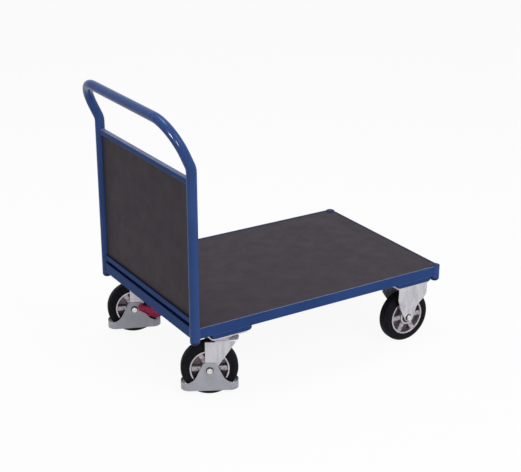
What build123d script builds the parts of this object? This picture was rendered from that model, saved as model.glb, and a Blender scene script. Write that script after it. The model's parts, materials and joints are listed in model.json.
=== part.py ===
from build123d import *
import math
import os

# Platform cart with one end panel: millimetres, floor at Z 0, the handle at -X, the left side at +Y.

# Platform
POST_SPACING_X = 1020.0
POST_SPACING_Y = 681.0
TUBE_D = 35.0
TUBE_WALL = 2.5
RAIL_HEIGHT = 38.0
RAIL_FLANGE = 38.0
RAIL_THICKNESS = 4.0
RAIL_OUTSET = 12.6
WELD_GAP = 0.2
DECK_THICKNESS = 12.0
DECK_RECESS = 2.0
DECK_CLEARANCE = 1.0
BEARER_WIDTH = 30.0
BEARER_WALL = 3.0
BEARER_COUNT = 4
BEARER_PITCH = 220.0
DECK_SCREW_D = 5.0
DECK_SCREW_BITE = 7.0
DECK_SCREW_HEAD_D = 10.0
DECK_SCREW_HEAD_HEIGHT = 3.0
DECK_SCREW_PITCH = 260.0
DECK_SCREW_ROWS = 3

# Caster pans under the frame
PAN_LENGTH = 152.0
PAN_DEPTH = 16.0
PAN_WALL = 4.0
PAN_CORNER = 12.0
PAN_INSET = 1.0
REAR_PAN_SHIFT = 6.0

# Corner tubes, their caps and plugs
FOOT_DROP = 10.0
PLUG_DOME = 13.0
PLUG_EDGE = 0.6
PLUG_SHANK = 16.0
CAP_HEIGHT = 12.0
CAP_CROWN = 1.5

# Handle
BEND_HEIGHT = 555.5
HANDLE_RISE = 152.0
HANDLE_REACH = 68.6
LOWER_BEND = 60.0
CORNER_BEND = 113.0

# End panel
PANEL_TOP = 518.0
PANEL_BOTTOM = 12.0
PANEL_THICKNESS = 8.0
PANEL_SIDE_GAP = 2.0
PANEL_OUTSET = 8.9
PANEL_RECESS = 5.0
PANEL_RAIL_FACE = 18.0
PANEL_RAIL_LEG = 16.0
PANEL_RAIL_WALL = 2.0
STRIP_WIDTH = 22.0
PANEL_SCREW_D = 4.5
PANEL_SCREW_BITE = 6.0
PANEL_SCREW_HEAD_D = 9.0
PANEL_SCREW_HEAD_HEIGHT = 2.4
PANEL_SCREW_PITCH = 140.0
PANEL_SCREW_COUNT = 5

# Casters
CASTER_INSET_Y = 47.5
SWIVEL_INSET_X = 132.0
FIXED_INSET_X = 103.0
LEFT_SWIVEL_TURN = -22.0
RIGHT_SWIVEL_TURN = -27.8
TRAIL = 46.0
PLATE_LENGTH = 140.0
PLATE_WIDTH = 114.0
PLATE_LIP = 3.0
PLATE_THICKNESS = 6.0
PLATE_CORNER = 8.0
BOLT_SPACING_X = 100.0
BOLT_SPACING_Y = 80.0
BOLT_D = 8.0
BOLT_HOLE_D = 8.4
BOLT_HEAD_FLATS = 13.0
BOLT_HEAD_HEIGHT = 5.3
NUT_HEIGHT = 6.5
BOLT_END = 2.0

# Wheels
WHEEL_D = 200.0
TYRE_WIDTH = 50.0
TYRE_SHOULDER = 17.0
TYRE_BEAD = 3.0
RIM_D = 139.0
RIM_WIDTH = 47.0
RIM_RING = 6.0
RIM_WEB = 10.0
HUB_D = 60.0
HUB_LENGTH = 53.0
SPOKE_COUNT = 6
SPOKE_WIDTH = 22.0
SPOKE_DEPTH = 38.0
BEARING_D = 47.0
BEARING_WIDTH = 14.0
BEARING_GROOVE = 1.0
SLEEVE_D = 20.0
AXLE_D = 12.0
AXLE_HEAD_FLATS = 19.0
AXLE_HEAD_HEIGHT = 6.0
AXLE_NUT_HEIGHT = 8.0
AXLE_END = 3.0
WASHER_D = 26.0
WASHER_THICKNESS = 2.0
RUNNING_CLEARANCE = 0.05
LOOSE_CLEARANCE = 0.2
TURN_GAP = 0.3

# Forks
FORK_GAP = 55.0
FORK_WALL = 3.5
FORK_TOE = 16.0
CROWN_CLEARANCE = 12.0
SWIVEL_FORK_BACK = 15.0
SWIVEL_FORK_FRONT = 93.0
SWIVEL_CROWN_R = 56.0
FIXED_FORK_TOP = 128.0
FIXED_FORK_CHEEK = 47.0
FIXED_FORK_DRAW = 49.0
FIXED_FORK_BEND = 110.0
FORK_BEND = 6.0
FORK_PAD_RISE = 2.6
FORK_PAD_SLOPE = 4.0
FORK_PAD_GAP = 2.0
SWIVEL_PAD_WIDTH = 35.0
FIXED_PAD_WIDTH = 62.0
CUP_HEIGHT = 24.0
CUP_D = 86.0
CUP_NECK_D = 64.0
KING_PIN_D = 16.0
KING_PIN_HEAD_D = 34.0
KING_PIN_HEAD_HEIGHT = 8.0

# Foot guard
GUARD_LENGTH = 200.0
GUARD_WALL = 3.0
GUARD_CORNER = 30.0
GUARD_CLEARANCE = 22.0
GUARD_BAND = 28.0
GUARD_TOP_WIDTH = 42.0
GUARD_TOP_RISE = 28.0
GUARD_WAIST_WIDTH = 92.0
GUARD_WAIST_DROP = 24.0
GUARD_FLARE_WIDTH = 164.0
GUARD_TOP_CORNER = 9.0

# Brake
PEDAL_PIVOT_X = 26.0
PEDAL_PIVOT_Z = 8.0
PEDAL_BOSS_D = 24.0
PEDAL_THICKNESS = 14.0
PEDAL_STANDOFF = 1.5
PEDAL_TIP_D = 38.0
PEDAL_TIP_X = 78.0
PEDAL_TIP_Z = -15.0
PEDAL_BAR_BOSS_D = 14.0
PEDAL_PIN_D = 8.0
PEDAL_PIN_HEAD_D = 14.0
PEDAL_PIN_HEAD_HEIGHT = 3.0
BRAKE_BAR_D = 7.0
BRAKE_BAR_X = 104.5
BRAKE_BAR_Z = -20.0

# Heights and places worked out from the sizes above
tube_r = TUBE_D / 2
tube_bore_r = tube_r - TUBE_WALL
post_x = POST_SPACING_X / 2
post_y = POST_SPACING_Y / 2
crown_top = WHEEL_D + CROWN_CLEARANCE
plate_bottom = crown_top + CUP_HEIGHT
caster_height = plate_bottom + PLATE_THICKNESS
rail_bottom = caster_height + PAN_DEPTH
rim_top = rail_bottom + RAIL_HEIGHT
rail_top_of_flange = rail_bottom + RAIL_THICKNESS
side_face = post_y + RAIL_OUTSET
side_inner = side_face - RAIL_THICKNESS
side_flange = side_face - RAIL_FLANGE
end_face = post_x + RAIL_OUTSET
end_inner = end_face - RAIL_THICKNESS
end_flange = end_face - RAIL_FLANGE
deck_top = rim_top - DECK_RECESS
deck_bottom = deck_top - DECK_THICKNESS
panel_outer = -post_x - PANEL_OUTSET
face_inner = panel_outer + PANEL_RAIL_WALL
board_outer = face_inner + PANEL_RECESS
board_inner = board_outer + PANEL_THICKNESS
panel_inner = board_inner + PANEL_RAIL_WALL
deck_rear = panel_inner + DECK_CLEARANCE
deck_front = end_inner - DECK_CLEARANCE
bearer_height = deck_bottom - rail_top_of_flange
bearer_middle = rail_top_of_flange + bearer_height / 2
bearer_xs = [BEARER_PITCH * (i - (BEARER_COUNT - 1) / 2) for i in range(BEARER_COUNT)]
tube_foot = rail_bottom - FOOT_DROP
corners = [(x, y) for x in (-post_x, post_x) for y in (-post_y, post_y)]
posts = [(-post_x, y) for y in (-post_y, post_y)]
front_corners = [(post_x, y) for y in (-post_y, post_y)]
wheel_r = WHEEL_D / 2
rim_r = RIM_D / 2
caster_y = post_y - CASTER_INSET_Y
swivel_x = SWIVEL_INSET_X - post_x
fixed_x = post_x - FIXED_INSET_X
pan_floor = caster_height + PAN_WALL
fork_inner = FORK_GAP / 2
fork_outer = fork_inner + FORK_WALL
guard_outer = fork_outer + GUARD_WALL
fixed_seat = fork_outer + FORK_PAD_RISE
tube_cut = 2 * (rim_top + BEND_HEIGHT)


def save(piece, name, place=Location()):
    """Write one piece where it sits on the cart."""
    placed = piece.moved(place)
    placed.label = name
    export_step(placed, f"parts/{name}.step")


def cut_round_tubes(places):
    """Cope the current piece round the corner tubes."""
    with Locations(*[(x, y, rim_top) for x, y in places]):
        Cylinder(tube_r + WELD_GAP, tube_cut, mode=Mode.SUBTRACT)


os.makedirs("parts", exist_ok=True)

# Side rails: angles with the flange inwards, coped round the corner tubes
for side, sign in (("left", 1), ("right", -1)):
    with BuildPart() as side_rail:
        with BuildSketch(Plane.YZ):
            with BuildLine():
                Polyline(
                    (sign * side_face, rail_bottom),
                    (sign * side_face, rim_top),
                    (sign * side_inner, rim_top),
                    (sign * side_inner, rail_top_of_flange),
                    (sign * side_flange, rail_top_of_flange),
                    (sign * side_flange, rail_bottom),
                    close=True,
                )
            make_face()
        extrude(amount=end_inner, both=True)
        cut_round_tubes(corners)
    save(side_rail.part, f"side_rail_{side}")

# End rails: upright leg from tube to tube, flange between the side rails' flanges
for end, sign in (("rear", -1), ("front", 1)):
    with BuildPart() as end_rail:
        with BuildSketch(Plane.XY.offset(rail_bottom)):
            with Locations((sign * (end_face + end_inner) / 2, 0)):
                Rectangle(RAIL_THICKNESS, POST_SPACING_Y)
        extrude(amount=RAIL_HEIGHT)
        with BuildSketch(Plane.XY.offset(rail_bottom)):
            with Locations((sign * (end_inner + end_flange) / 2, 0)):
                Rectangle(end_inner - end_flange, 2 * side_flange)
        extrude(amount=RAIL_THICKNESS)
        cut_round_tubes(corners)
    save(end_rail.part, f"end_rail_{end}")

# Front corner tubes with a press-in cap in each top
with BuildPart() as front_tubes:
    with BuildSketch(Plane.XY.offset(tube_foot)):
        with Locations(*front_corners):
            Circle(tube_r)
            Circle(tube_bore_r, mode=Mode.SUBTRACT)
    extrude(amount=rim_top - tube_foot)
save(front_tubes.part, "front_corner_tubes")

with BuildPart() as caps:
    with BuildSketch(Plane.XY.offset(rim_top - CAP_HEIGHT)):
        with Locations(*front_corners):
            Circle(tube_bore_r)
    extrude(amount=CAP_HEIGHT + CAP_CROWN)
    fillet(caps.faces().group_by(Axis.Z)[-1].edges(), CAP_CROWN / 2)
save(caps.part, "corner_tube_caps")

# Foot plugs: a shank in the tube and a domed end under it
with BuildPart() as plugs:
    with BuildSketch(Plane.XY.offset(tube_foot)):
        with Locations(*corners):
            Circle(tube_bore_r)
    extrude(amount=PLUG_SHANK)
    with BuildSketch(Plane.XY.offset(tube_foot)):
        with Locations(*corners):
            Circle(tube_r)
    extrude(amount=-PLUG_DOME)
    fillet(plugs.faces().group_by(Axis.Z)[0].edges(), PLUG_DOME - PLUG_EDGE)
save(plugs.part, "tube_foot_plugs")

# Caster pans: folded sheet, open upwards, welded under the rails
pan_half_width = side_face - PAN_INSET
for end, pan_x, caster_x in (("rear", swivel_x + REAR_PAN_SHIFT, swivel_x), ("front", fixed_x, fixed_x)):
    with BuildPart() as pan:
        with BuildSketch(Plane.XZ) as pan_outline:
            with Locations((pan_x, caster_height + PAN_DEPTH / 2)):
                Rectangle(PAN_LENGTH, PAN_DEPTH)
            fillet(pan_outline.vertices().group_by(Axis.Y)[0], PAN_CORNER)
        extrude(amount=pan_half_width, both=True)
        with BuildSketch(Plane.XZ) as pan_hollow:
            with Locations((pan_x, (pan_floor + rail_bottom) / 2)):
                Rectangle(PAN_LENGTH - 2 * PAN_WALL, rail_bottom - pan_floor)
            fillet(pan_hollow.vertices().group_by(Axis.Y)[0], PAN_CORNER - PAN_WALL)
        extrude(amount=pan_half_width - PAN_WALL, both=True, mode=Mode.SUBTRACT)
        with Locations(*[(caster_x, y, caster_height) for y in (-caster_y, caster_y)]):
            with GridLocations(BOLT_SPACING_X, BOLT_SPACING_Y, 2, 2):
                Cylinder(BOLT_HOLE_D / 2, 3 * PAN_WALL, mode=Mode.SUBTRACT)
    save(pan.part, f"caster_pan_{end}")

# Deck bearers: upturned channels lying on the side rails' flanges
deck_screw_places = [
    (x, DECK_SCREW_PITCH * (i - (DECK_SCREW_ROWS - 1) / 2))
    for x in bearer_xs
    for i in range(DECK_SCREW_ROWS)
]
with BuildPart() as bearers:
    with BuildSketch(Plane.XZ):
        with Locations(*[(x, bearer_middle) for x in bearer_xs]):
            Rectangle(BEARER_WIDTH, bearer_height)
        with Locations(*[(x, bearer_middle - BEARER_WALL / 2) for x in bearer_xs]):
            Rectangle(BEARER_WIDTH - 2 * BEARER_WALL, bearer_height - BEARER_WALL, mode=Mode.SUBTRACT)
    extrude(amount=side_inner, both=True)
    with Locations(*[(x, y, deck_bottom) for x, y in deck_screw_places]):
        Cylinder(DECK_SCREW_D / 2, 3 * BEARER_WALL, mode=Mode.SUBTRACT)
save(bearers.part, "deck_bearers")

# Deck board from the end panel to the front rail, notched at the corner tubes, held by screws from below
with BuildPart() as deck:
    with BuildSketch(Plane.XY.offset(deck_bottom)):
        with Locations(((deck_rear + deck_front) / 2, 0)):
            Rectangle(deck_front - deck_rear, 2 * (side_inner - DECK_CLEARANCE))
        with Locations(*corners):
            Circle(tube_r + DECK_CLEARANCE, mode=Mode.SUBTRACT)
    extrude(amount=DECK_THICKNESS)
    with BuildSketch(Plane.XY.offset(deck_bottom)):
        with Locations(*deck_screw_places):
            Circle(DECK_SCREW_D / 2)
    extrude(amount=DECK_SCREW_BITE, mode=Mode.SUBTRACT)
save(deck.part, "deck_board")

with BuildPart() as deck_screws:
    with BuildSketch(Plane.XY.offset(deck_bottom + DECK_SCREW_BITE)):
        with Locations(*deck_screw_places):
            Circle(DECK_SCREW_D / 2)
    extrude(amount=-DECK_SCREW_BITE - BEARER_WALL)
    with BuildSketch(Plane.XY.offset(deck_bottom - BEARER_WALL)):
        with Locations(*deck_screw_places):
            Circle(DECK_SCREW_HEAD_D / 2)
    extrude(amount=-DECK_SCREW_HEAD_HEIGHT)
save(deck_screws.part, "deck_screws")

# Handle: one bent tube, both posts and the push bar leaning out over the end
bend_z = rim_top + BEND_HEIGHT
bar_z = bend_z + HANDLE_RISE
bar_x = -post_x - HANDLE_REACH
with BuildPart() as handle:
    with BuildLine() as handle_route:
        FilletPolyline(
            (-post_x, -post_y, tube_foot),
            (-post_x, -post_y, bend_z),
            (bar_x, -post_y, bar_z),
            (bar_x, post_y, bar_z),
            (-post_x, post_y, bend_z),
            (-post_x, post_y, tube_foot),
            radius=(LOWER_BEND, CORNER_BEND, CORNER_BEND, LOWER_BEND),
        )
    with BuildSketch(Plane.XY.offset(tube_foot)):
        with Locations((-post_x, -post_y)):
            Circle(tube_r)
            Circle(tube_bore_r, mode=Mode.SUBTRACT)
    sweep()
save(handle.part, "handle_tube")

# End panel: a board set back in two channel rails, screwed from the deck side
panel_top = rim_top + PANEL_TOP
panel_bottom = rim_top + PANEL_BOTTOM
board_half_width = post_y - tube_r - PANEL_SIDE_GAP
board_middle = (panel_top + panel_bottom) / 2
board_height = panel_top - panel_bottom - 2 * PANEL_RAIL_WALL
screw_ys = [PANEL_SCREW_PITCH * (i - (PANEL_SCREW_COUNT - 1) / 2) for i in range(PANEL_SCREW_COUNT)]
screw_zs = (panel_bottom + PANEL_RAIL_FACE / 2, panel_top - PANEL_RAIL_FACE / 2)
screw_places = [(y, z) for y in screw_ys for z in screw_zs]
screw_tip = board_inner - PANEL_SCREW_BITE


def panel_screw_holes():
    """Cut the panel screws' shanks from the current piece."""
    with Locations(*[((screw_tip + panel_inner) / 2, y, z) for y, z in screw_places]):
        Cylinder(PANEL_SCREW_D / 2, panel_inner - screw_tip, rotation=(0, 90, 0), mode=Mode.SUBTRACT)


# The bottom rail's inner leg runs on down behind the deck's edge to the end rail's flange
for name, edge_z, sign, inner_edge in (
    ("panel_top_rail", panel_top, -1, panel_top),
    ("panel_bottom_rail", panel_bottom, 1, rail_top_of_flange),
):
    leg_end = edge_z + sign * PANEL_RAIL_LEG
    with BuildPart() as panel_rail:
        with BuildSketch(Plane.XZ):
            with BuildLine():
                Polyline(
                    (panel_outer, edge_z),
                    (board_inner, edge_z),
                    (board_inner, edge_z + sign * PANEL_RAIL_WALL),
                    (face_inner, edge_z + sign * PANEL_RAIL_WALL),
                    (face_inner, edge_z + sign * PANEL_RAIL_FACE),
                    (panel_outer, edge_z + sign * PANEL_RAIL_FACE),
                    close=True,
                )
            make_face()
            with Locations(((board_inner + panel_inner) / 2, (inner_edge + leg_end) / 2)):
                Rectangle(PANEL_RAIL_WALL, abs(leg_end - inner_edge))
        extrude(amount=post_y, both=True)
        cut_round_tubes(posts)
        panel_screw_holes()
    save(panel_rail.part, name)

with BuildPart() as panel:
    with BuildSketch(Plane.YZ.offset(board_outer)):
        with Locations((0, board_middle)):
            Rectangle(2 * board_half_width, board_height)
    extrude(amount=PANEL_THICKNESS)
    panel_screw_holes()
save(panel.part, "end_panel")

# Side strips: welded to the posts between the rails' inner legs, they close the gap beside the board
strip_height = panel_top - panel_bottom - 2 * PANEL_RAIL_LEG - 2 * WELD_GAP
with BuildPart() as strips:
    with BuildSketch(Plane.YZ.offset(board_inner)):
        for sign in (-1, 1):
            with Locations((sign * (post_y - STRIP_WIDTH), board_middle)):
                Rectangle(2 * STRIP_WIDTH, strip_height)
    extrude(amount=PANEL_RAIL_WALL)
    cut_round_tubes(posts)
save(strips.part, "panel_side_strips")

with BuildPart() as panel_screws:
    with BuildSketch(Plane.YZ.offset(screw_tip)):
        with Locations(*screw_places):
            Circle(PANEL_SCREW_D / 2)
    extrude(amount=panel_inner - screw_tip)
    with BuildSketch(Plane.YZ.offset(panel_inner)):
        with Locations(*screw_places):
            Circle(PANEL_SCREW_HEAD_D / 2)
    extrude(amount=PANEL_SCREW_HEAD_HEIGHT)
    fillet(panel_screws.faces().group_by(Axis.X)[-1].edges(), PANEL_SCREW_HEAD_HEIGHT / 2)
save(panel_screws.part, "panel_screws")

# Caster mounting bolts, heads down, and their nuts inside the pans
caster_places = [(x, y) for x in (swivel_x, fixed_x) for y in (-caster_y, caster_y)]
bolt_places = [
    (x + i * BOLT_SPACING_X / 2, y + j * BOLT_SPACING_Y / 2)
    for x, y in caster_places
    for i in (-1, 1)
    for j in (-1, 1)
]
with BuildPart() as caster_bolts:
    with BuildSketch(Plane.XY.offset(plate_bottom)):
        with Locations(*bolt_places):
            RegularPolygon(BOLT_HEAD_FLATS / 2, 6, major_radius=False)
    extrude(amount=-BOLT_HEAD_HEIGHT)
    with BuildSketch(Plane.XY.offset(plate_bottom)):
        with Locations(*bolt_places):
            Circle(BOLT_D / 2)
    extrude(amount=pan_floor + NUT_HEIGHT + BOLT_END - plate_bottom)
save(caster_bolts.part, "caster_bolts")

with BuildPart() as caster_nuts:
    with BuildSketch(Plane.XY.offset(pan_floor)):
        with Locations(*bolt_places):
            RegularPolygon(BOLT_HEAD_FLATS / 2, 6, major_radius=False)
            Circle(BOLT_D / 2, mode=Mode.SUBTRACT)
    extrude(amount=NUT_HEIGHT)
save(caster_nuts.part, "caster_nuts")

# Wheel pieces, about the wheel's own centre with the axle along Y
with BuildPart() as tyre:
    with BuildSketch(Plane.XY) as tyre_section:
        with Locations(((wheel_r + rim_r) / 2, 0)):
            Rectangle(wheel_r - rim_r, TYRE_WIDTH)
        fillet(tyre_section.vertices().group_by(Axis.X)[-1], TYRE_SHOULDER)
        fillet(tyre_section.vertices().group_by(Axis.X)[0], TYRE_BEAD)
    revolve(axis=Axis.Y)

ring_inner = rim_r - RIM_RING
with BuildPart() as rim:
    with BuildSketch(Plane.XY):
        with Locations(((rim_r + ring_inner) / 2, 0)):
            Rectangle(RIM_RING, RIM_WIDTH)
        with Locations((rim_r / 2, 0)):
            Rectangle(rim_r, RIM_WEB)
        with Locations((HUB_D / 4, 0)):
            Rectangle(HUB_D / 2, HUB_LENGTH)
    revolve(axis=Axis.Y)
    with BuildSketch(Plane.XZ):
        with PolarLocations((HUB_D / 2 + ring_inner) / 2, SPOKE_COUNT):
            Rectangle(ring_inner - HUB_D / 2 + RIM_RING, SPOKE_WIDTH)
    extrude(amount=SPOKE_DEPTH / 2, both=True)
    with BuildSketch(Plane.XY):
        with Locations((BEARING_D / 4 - BEARING_GROOVE, 0)):
            Rectangle(BEARING_D / 2 - 2 * BEARING_GROOVE, HUB_LENGTH)
        for sign in (-1, 1):
            with Locations((BEARING_D / 4, sign * (HUB_LENGTH - BEARING_WIDTH) / 2)):
                Rectangle(BEARING_D / 2, BEARING_WIDTH)
    revolve(axis=Axis.Y, mode=Mode.SUBTRACT)

bearing_bore_r = SLEEVE_D / 2 + RUNNING_CLEARANCE
with BuildPart() as bearings:
    with BuildSketch(Plane.XY):
        for sign in (-1, 1):
            with Locations(((BEARING_D / 2 + bearing_bore_r) / 2, sign * (HUB_LENGTH - BEARING_WIDTH) / 2)):
                Rectangle(BEARING_D / 2 - bearing_bore_r, BEARING_WIDTH)
            with Locations(((BEARING_D / 2 + bearing_bore_r) / 2, sign * HUB_LENGTH / 2)):
                Rectangle((BEARING_D - SLEEVE_D) / 4, 2 * BEARING_GROOVE, mode=Mode.SUBTRACT)
    revolve(axis=Axis.Y)

# Axle pieces, about the wheel's centre: the sleeve fills the fork, the bolt clamps it
with BuildPart() as sleeve:
    with BuildSketch(Plane.XZ):
        Circle(SLEEVE_D / 2)
        Circle(AXLE_D / 2 + LOOSE_CLEARANCE, mode=Mode.SUBTRACT)
    extrude(amount=fork_inner, both=True)


def axle_bolt(seat):
    """Axle bolt with its washer and hexagon head on the -Y side, for a fork whose outside is at seat."""
    with BuildPart() as bolt:
        with BuildSketch(Plane.XZ.offset(seat)):
            Circle(WASHER_D / 2)
        extrude(amount=WASHER_THICKNESS)
        with BuildSketch(Plane.XZ.offset(seat + WASHER_THICKNESS)):
            RegularPolygon(AXLE_HEAD_FLATS / 2, 6, major_radius=False)
        extrude(amount=AXLE_HEAD_HEIGHT)
        with BuildSketch(Plane.XZ.offset(seat)):
            Circle(AXLE_D / 2)
        extrude(amount=-2 * seat - WASHER_THICKNESS - AXLE_NUT_HEIGHT - AXLE_END)
    return bolt.part


def axle_nut(seat):
    """Axle nut and its washer on the +Y side."""
    with BuildPart() as nut:
        with BuildSketch(Plane.XZ.offset(-seat)):
            Circle(WASHER_D / 2)
            Circle(AXLE_D / 2, mode=Mode.SUBTRACT)
        extrude(amount=-WASHER_THICKNESS)
        with BuildSketch(Plane.XZ.offset(-seat - WASHER_THICKNESS)):
            RegularPolygon(AXLE_HEAD_FLATS / 2, 6, major_radius=False)
            Circle(AXLE_D / 2, mode=Mode.SUBTRACT)
        extrude(amount=-AXLE_NUT_HEIGHT)
    return nut.part


def axle_hole(x, half_width):
    """Drill the current piece for the axle bolt."""
    with Locations((x, 0, wheel_r)):
        Cylinder(AXLE_D / 2 + LOOSE_CLEARANCE, 2 * half_width, rotation=(90, 0, 0), mode=Mode.SUBTRACT)


# Mounting plate that every caster has, with its four bolt holes
with BuildPart() as mounting_plate:
    with BuildSketch(Plane.XY.offset(plate_bottom)):
        RectangleRounded(PLATE_LENGTH, PLATE_WIDTH, PLATE_CORNER)
        with GridLocations(BOLT_SPACING_X, BOLT_SPACING_Y, 2, 2):
            Circle(BOLT_HOLE_D / 2, mode=Mode.SUBTRACT)
    extrude(amount=PLATE_THICKNESS)

# Fixed fork, about the caster's own centre: upright cheeks under the plate, drawn in to the axle,
# with a raised panel down the middle of each leg
spread = PLATE_WIDTH / 2 - PLATE_LIP
cheek_bottom = plate_bottom - FIXED_FORK_CHEEK
knee = cheek_bottom - FIXED_FORK_DRAW
toe_bottom = wheel_r - FORK_TOE
fork_half = FIXED_FORK_TOP / 2
pad_half = FIXED_PAD_WIDTH / 2
pad_slope = math.degrees(math.atan2(FORK_PAD_RISE, FORK_PAD_SLOPE))


def leg_profiles(place, rise):
    """Sketch both legs' section, standing out by rise, on a plane across the wheel."""
    with BuildSketch(place) as legs:
        for sign in (-1, 1):
            with BuildLine():
                Polyline(
                    (sign * (spread + rise), plate_bottom + rise),
                    (sign * (spread + rise), cheek_bottom),
                    (sign * (fork_outer + rise), knee),
                    (sign * (fork_outer + rise), toe_bottom - rise),
                    (sign * fork_inner, toe_bottom - rise),
                    (sign * fork_inner, knee),
                    (sign * (spread - FORK_WALL), cheek_bottom),
                    (sign * (spread - FORK_WALL), plate_bottom + rise),
                    close=True,
                )
            make_face()
        levels = legs.vertices().group_by(Axis.Y)
        fillet(levels[1] + levels[2], FIXED_FORK_BEND)
    return legs.sketch


with BuildPart() as fixed_fork:
    extrude(leg_profiles(Plane.YZ, 0), amount=fork_half, both=True)
    extrude(leg_profiles(Plane.YZ, FORK_PAD_RISE), amount=pad_half, both=True)
    for side in (-1, 1):
        slope_start = Plane((side * pad_half, 0, 0), x_dir=(0, side, 0), z_dir=(side, 0, 0))
        extrude(leg_profiles(slope_start, FORK_PAD_RISE), amount=FORK_PAD_SLOPE, taper=pad_slope)
    with BuildSketch(Plane.XZ):
        with BuildLine():
            Line((-fork_half, plate_bottom), (fork_half, plate_bottom))
            Line((-fork_half, cheek_bottom), (fork_half, cheek_bottom))
        with Locations((0, wheel_r)):
            Circle(FORK_TOE)
        make_hull()
    extrude(amount=2 * spread, both=True, mode=Mode.INTERSECT)
    axle_hole(0, spread)
    add(mounting_plate.part)

# Swivel caster pieces, about the swivel axis with the wheel trailing towards -X
crown_bottom = crown_top - FORK_WALL
fork_back = -TRAIL - SWIVEL_FORK_BACK
fork_front = -TRAIL + SWIVEL_FORK_FRONT
pin_r = KING_PIN_D / 2
with BuildPart() as top_plate:
    add(mounting_plate.part)
    with BuildSketch(Plane.XY.offset(plate_bottom)):
        Circle(pin_r)
    extrude(amount=PLATE_THICKNESS, mode=Mode.SUBTRACT)

cup_bottom = crown_top + TURN_GAP
with BuildPart() as cup:
    with BuildSketch(Plane.XY.offset(cup_bottom)):
        Circle(CUP_NECK_D / 2)
    with BuildSketch(Plane.XY.offset(plate_bottom)):
        Circle(CUP_D / 2)
    loft()
    with BuildSketch(Plane.XY.offset(cup_bottom)):
        Circle(pin_r)
    extrude(amount=plate_bottom - cup_bottom, mode=Mode.SUBTRACT)

with BuildPart() as king_pin:
    with BuildSketch(Plane.XY.offset(crown_bottom - TURN_GAP)):
        Circle(KING_PIN_HEAD_D / 2)
    extrude(amount=-KING_PIN_HEAD_HEIGHT)
    with BuildSketch(Plane.XY.offset(crown_bottom - TURN_GAP)):
        Circle(pin_r)
    extrude(amount=caster_height - crown_bottom + TURN_GAP)

leg_height = crown_top - toe_bottom
pad_bottom = wheel_r + GUARD_TOP_RISE + FORK_PAD_GAP
pad_top = crown_top - FORK_BEND
with BuildPart() as swivel_fork:
    with BuildSketch(Plane.YZ.offset(fork_back)) as crown_outline:
        with Locations((0, toe_bottom + leg_height / 2)):
            Rectangle(2 * fork_outer, leg_height)
        fillet(crown_outline.vertices().group_by(Axis.Y)[-1], FORK_BEND)
    extrude(amount=fork_front - fork_back)
    with BuildSketch(Plane.YZ.offset(fork_back)) as crown_hollow:
        with Locations((0, toe_bottom + (leg_height - FORK_WALL) / 2)):
            Rectangle(FORK_GAP, leg_height - FORK_WALL)
        fillet(crown_hollow.vertices().group_by(Axis.Y)[-1], FORK_BEND - FORK_WALL)
    extrude(amount=fork_front - fork_back, mode=Mode.SUBTRACT)
    with BuildSketch(Plane.XZ):
        with BuildLine():
            Line((fork_back, crown_top), (fork_front, crown_top))
            Line((fork_back, crown_bottom), (fork_front, crown_bottom))
        with Locations((-TRAIL, wheel_r)):
            Circle(FORK_TOE)
        make_hull()
    extrude(amount=fork_outer, both=True, mode=Mode.INTERSECT)
    with BuildSketch(Plane.XY.offset(crown_bottom)):
        Circle(SWIVEL_CROWN_R)
        with Locations((fork_front / 2, 0)):
            Rectangle(2 * SWIVEL_CROWN_R - fork_front, 2 * fork_inner, mode=Mode.INTERSECT)
    extrude(amount=FORK_WALL)
    with BuildSketch(Plane.XY.offset(pad_top)):
        with Locations((fork_back + SWIVEL_PAD_WIDTH / 2, 0)):
            Rectangle(SWIVEL_PAD_WIDTH, 2 * fork_outer)
    extrude(amount=FORK_BEND, mode=Mode.SUBTRACT)
    for sign in (-1, 1):
        with BuildSketch(Plane.XY.offset(pad_bottom)):
            with BuildLine():
                Polyline(
                    (fork_back, sign * fork_outer),
                    (fork_back, sign * (fork_outer + FORK_PAD_RISE)),
                    (fork_back + SWIVEL_PAD_WIDTH, sign * (fork_outer + FORK_PAD_RISE)),
                    (fork_back + SWIVEL_PAD_WIDTH + FORK_PAD_SLOPE, sign * fork_outer),
                    close=True,
                )
            make_face()
        extrude(amount=pad_top - pad_bottom)
    with BuildSketch(Plane.XY.offset(crown_bottom)):
        Circle(pin_r + RUNNING_CLEARANCE)
    extrude(amount=FORK_WALL, mode=Mode.SUBTRACT)
    axle_hole(-TRAIL, fork_outer)

# Foot guard: a band round the wheel whose sides rise to the axle
guard_floor = GUARD_CLEARANCE - wheel_r
band_top = guard_floor + GUARD_BAND
guard_half = GUARD_LENGTH / 2
with BuildPart() as guard:
    with BuildSketch(Plane.XY.offset(GUARD_CLEARANCE)):
        with Locations((-TRAIL, 0)):
            RectangleRounded(GUARD_LENGTH, 2 * guard_outer, GUARD_CORNER)
            RectangleRounded(
                GUARD_LENGTH - 2 * GUARD_WALL,
                2 * fork_outer,
                GUARD_CORNER - GUARD_WALL,
                mode=Mode.SUBTRACT,
            )
    extrude(amount=GUARD_TOP_RISE - guard_floor)
    with BuildSketch(Plane.XZ.shift_origin((-TRAIL, 0, wheel_r))) as guard_side:
        with BuildLine():
            shoulder = Line((GUARD_TOP_WIDTH / 2, GUARD_TOP_RISE), (GUARD_WAIST_WIDTH / 2, -GUARD_WAIST_DROP))
            flare = TangentArc(shoulder @ 1, (GUARD_FLARE_WIDTH / 2, band_top), tangent=shoulder % 1)
            Polyline(flare @ 1, (guard_half, band_top), (guard_half, guard_floor), (0, guard_floor))
            Line((0, GUARD_TOP_RISE), shoulder @ 0)
            mirror(about=Plane.YZ)
        make_face()
        fillet(guard_side.vertices().group_by(Axis.Y)[-1], GUARD_TOP_CORNER)
    extrude(amount=guard_outer, both=True, mode=Mode.INTERSECT)
    axle_hole(-TRAIL, guard_outer)

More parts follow.
